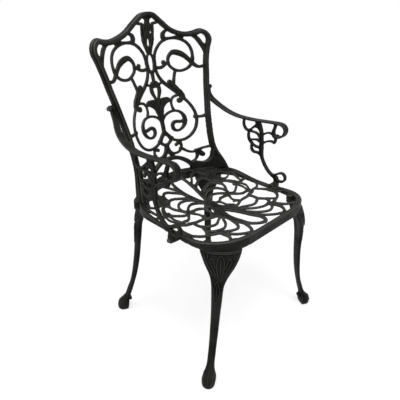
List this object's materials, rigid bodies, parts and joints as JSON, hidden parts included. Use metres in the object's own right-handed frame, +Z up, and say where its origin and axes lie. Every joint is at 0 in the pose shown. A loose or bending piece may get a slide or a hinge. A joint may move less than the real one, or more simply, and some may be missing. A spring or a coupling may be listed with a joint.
{
  "type": "garden armchair",
  "caption": "Cast iron garden armchair with an openwork scrolled back, dished openwork seat, scrolled arm brackets and cabriole legs.",
  "frame": {"origin": "on the floor under the middle of the chair's outline", "axes": "+Z up, the sitter faces -Y, +X is to the right when the chair is seen from the front"},
  "size_m": [0.5128, 0.5282, 0.8804],
  "materials": {
    "casting": "satin near-black coating on a lightly grained casting",
    "fasteners": "satin black"
  },
  "bodies": {
    "root": {"back_panel": "casting", "seat_panel": "casting", "arm_right": "casting", "arm_left": "casting", "leg_front_right": "casting", "leg_front_left": "casting", "leg_rear_right": "casting", "leg_rear_left": "casting", "leg_bolts": "fasteners", "leg_washers": "fasteners", "back_bolts": "fasteners", "back_washers": "fasteners", "arm_foot_bolts": "fasteners", "arm_foot_washers": "fasteners", "arm_top_bolts": "fasteners", "arm_top_washers": "fasteners"}
  },
  "joints": []
}
